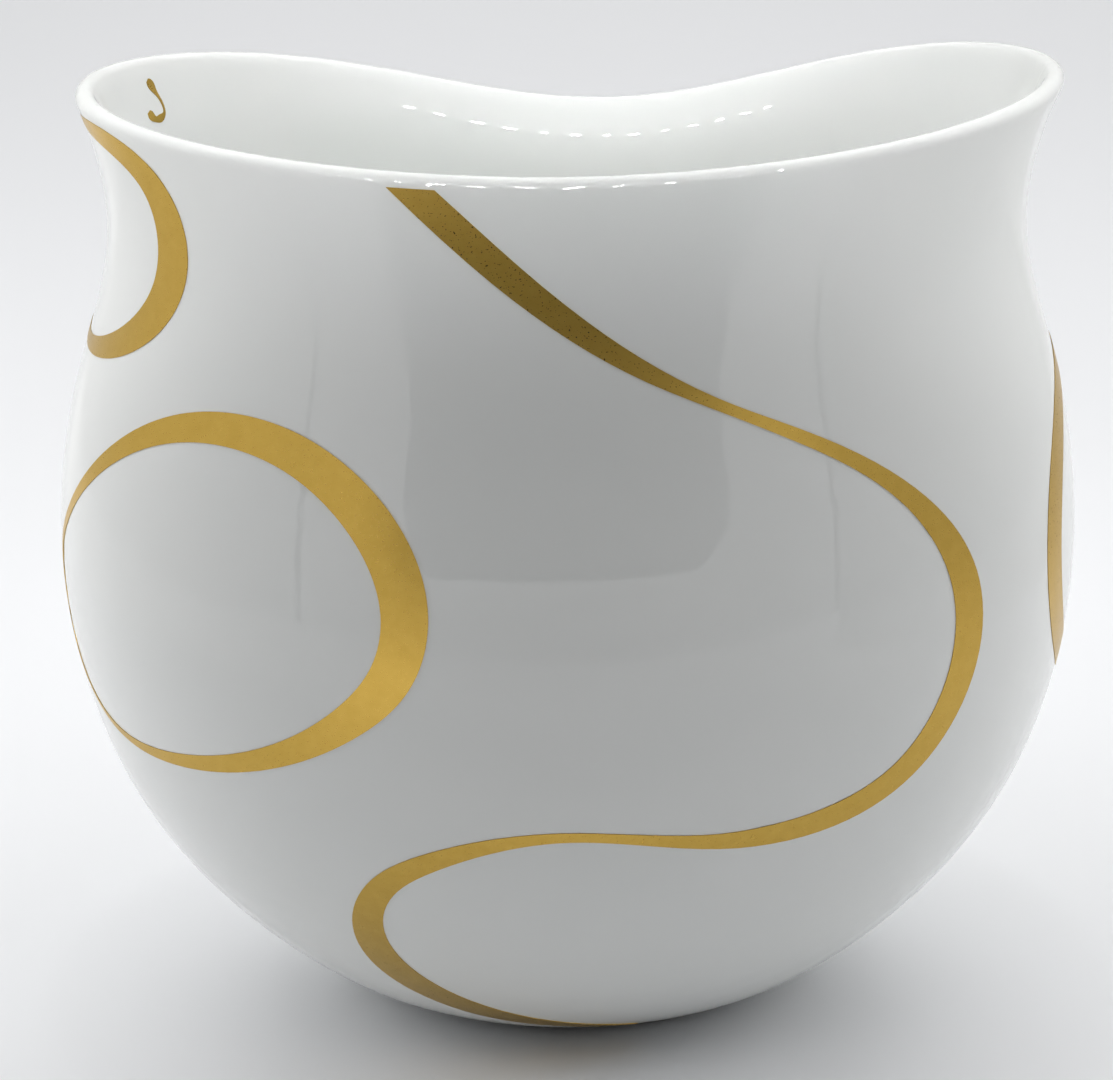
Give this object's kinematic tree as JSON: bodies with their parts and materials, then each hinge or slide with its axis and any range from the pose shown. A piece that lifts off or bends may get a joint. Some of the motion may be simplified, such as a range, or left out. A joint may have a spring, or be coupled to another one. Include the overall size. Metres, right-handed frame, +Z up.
{
  "type": "porcelain vase",
  "caption": "Round-bellied glazed porcelain vase with a pinched, wavy slot mouth and flowing matt-gold line decoration.",
  "frame": {"origin": "centre of the standing ring, on the surface that the vase stands on", "axes": "+X along the long axis of the mouth, to the right as the front ribbon is seen; +Y to the back; +Z up"},
  "size_m": [0.16, 0.1161, 0.1531],
  "materials": {
    "bisque_porcelain": "unglazed, ground smooth and matt",
    "clear_glaze": "smooth high-gloss transparent glaze over white porcelain",
    "matt_gold": "fired-on matt gold, fine grained and satin"
  },
  "bodies": {
    "root": {"porcelain_body": "bisque_porcelain", "foot_ring": "bisque_porcelain", "glaze_coat": "clear_glaze", "base_glaze": "clear_glaze", "front_ribbon": "matt_gold", "back_ribbon": "matt_gold", "left_ring": "matt_gold", "right_ring": "matt_gold", "upper_left_crescent": "matt_gold", "inner_curl": "matt_gold"}
  },
  "joints": []
}
